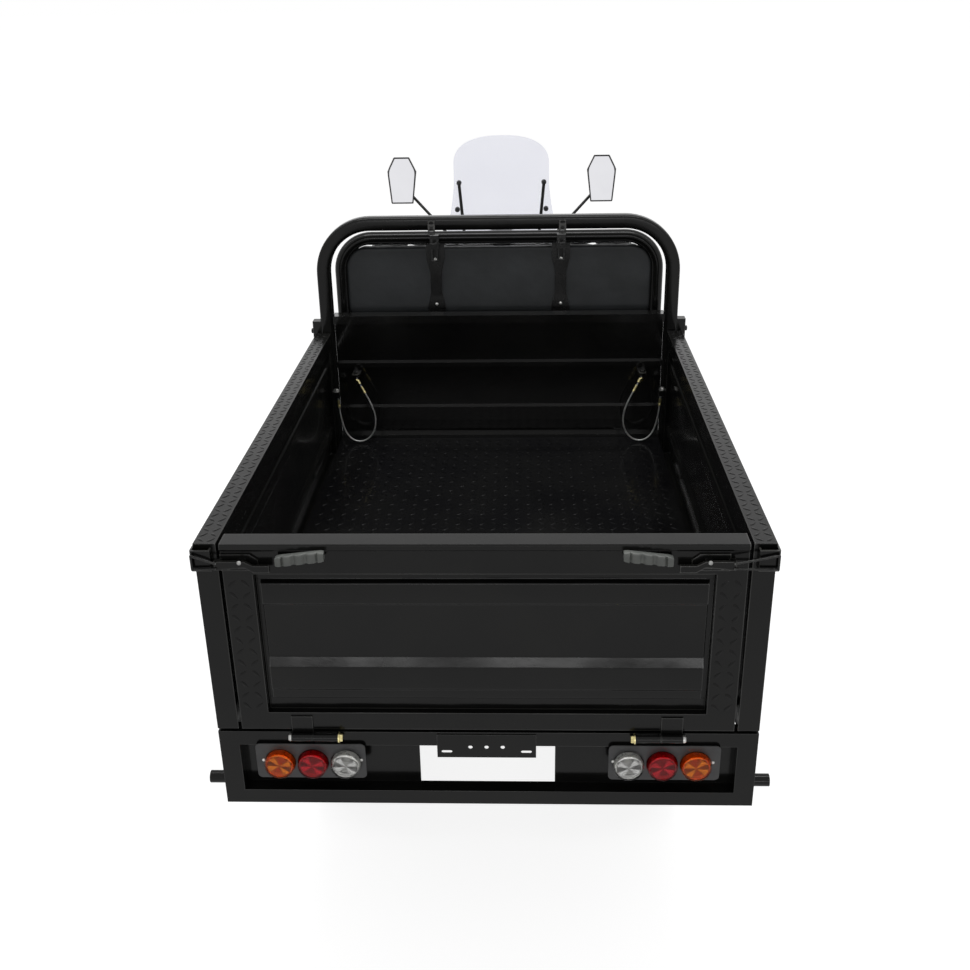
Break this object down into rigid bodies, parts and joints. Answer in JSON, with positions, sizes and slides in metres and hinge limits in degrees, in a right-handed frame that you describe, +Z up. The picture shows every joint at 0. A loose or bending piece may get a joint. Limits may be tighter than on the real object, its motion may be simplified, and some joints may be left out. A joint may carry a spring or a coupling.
{
  "type": "cargo tricycle",
  "caption": "Three-wheeled cargo tricycle with an open tipping load bed, drop sides, drop tailgate, headboard hoop, bench seat and steered front wheel with windscreen.",
  "frame": {"origin": "on the ground below the middle of the vehicle", "axes": "+Y forward along the vehicle, +X to its right-hand side, +Z up"},
  "size_m": [1.06, 2.6, 1.378],
  "materials": {
    "black_paint": "gloss black enamel",
    "floor_paint": "gloss black on pressed tread sheet",
    "frame_paint": "satin black enamel",
    "battery_case": "moulded",
    "vinyl": "dark grey upholstery vinyl",
    "grip_grey": "ribbed grey",
    "rubber": "moulded",
    "tyre": "road tread",
    "rim_paint": "satin",
    "zinc": "zinc plated",
    "cable_steel": "bare wire rope",
    "amber": "amber lens",
    "red": "red lens",
    "clear": "clear lens",
    "screen": "clear acrylic",
    "mirror": "silvered",
    "dark_plastic": "moulded",
    "cast": "cast housing",
    "spring_steel": "painted spring steel"
  },
  "bodies": {
    "chassis": {"chassis_frame": "frame_paint", "seat_box": "black_paint", "battery_pack": "battery_case", "footboard": "floor_paint", "leg_shield": "black_paint", "seat_cushion": "vinyl", "backrest_frame": "black_paint", "backrest_pads": "vinyl", "backrest_straps": "black_paint", "rear_axle": "cast", "leaf_springs": "spring_steel"},
    "bed": {"bed_floor": "floor_paint", "bed_subframe": "frame_paint", "front_wall": "black_paint", "front_hoop": "black_paint", "tail_frame": "black_paint", "lamp_plates": "dark_plastic", "amber_lenses": "amber", "red_lenses": "red", "clear_lenses": "clear", "cable_left": "cable_steel", "cable_right": "cable_steel"},
    "tailgate": {"tailgate_frame": "black_paint", "tailgate_panel": "black_paint", "tailgate_latches": "zinc", "latch_grips": "grip_grey"},
    "side_gate_left": {"side_gate_left_frame": "black_paint", "side_gate_left_panel": "black_paint"},
    "side_gate_right": {"side_gate_right_frame": "black_paint", "side_gate_right_panel": "black_paint"},
    "steering": {"fork": "frame_paint", "handlebar": "black_paint", "hand_grips": "rubber", "front_fender": "black_paint", "headlamp": "dark_plastic", "instrument": "dark_plastic", "windshield": "screen", "mirror_frames": "dark_plastic", "mirror_glass": "mirror"},
    "front_wheel": {"front_rim": "rim_paint", "front_tyre": "tyre"},
    "rear_wheel_left": {"rear_left_rim": "rim_paint", "rear_left_tyre": "tyre"},
    "rear_wheel_right": {"rear_right_rim": "rim_paint", "rear_right_tyre": "tyre"}
  },
  "joints": [
    {"name": "bed_tip", "type": "hinge", "parent": "chassis", "child": "bed", "pos_m": [0, -1.123, 0.52], "axis": [1, 0, 0], "range_deg": [0, 40]},
    {"name": "tailgate_drop", "type": "hinge", "parent": "bed", "child": "tailgate", "pos_m": [0, -1.283, 0.548], "axis": [1, 0, 0], "range_deg": [0, 160]},
    {"name": "side_gate_left_drop", "type": "hinge", "parent": "bed", "child": "side_gate_left", "pos_m": [-0.505, -0.673, 0.55], "axis": [0, -1, 0], "range_deg": [0, 72]},
    {"name": "side_gate_right_drop", "type": "hinge", "parent": "bed", "child": "side_gate_right", "pos_m": [0.505, -0.673, 0.55], "axis": [0, 1, 0], "range_deg": [0, 72]},
    {"name": "steering_turn", "type": "hinge", "parent": "chassis", "child": "steering", "pos_m": [0, 0.78499, 0.7], "axis": [0, -0.4226, 0.9063], "range_deg": [-40, 40]},
    {"name": "front_wheel_spin", "type": "hinge", "parent": "steering", "child": "front_wheel", "pos_m": [0, 1.05, 0.25], "axis": [1, 0, 0], "continuous": true},
    {"name": "rear_left_wheel_spin", "type": "hinge", "parent": "chassis", "child": "rear_wheel_left", "pos_m": [-0.4, -0.653, 0.25], "axis": [1, 0, 0], "continuous": true},
    {"name": "rear_right_wheel_spin", "type": "hinge", "parent": "chassis", "child": "rear_wheel_right", "pos_m": [0.4, -0.653, 0.25], "axis": [1, 0, 0], "continuous": true}
  ]
}
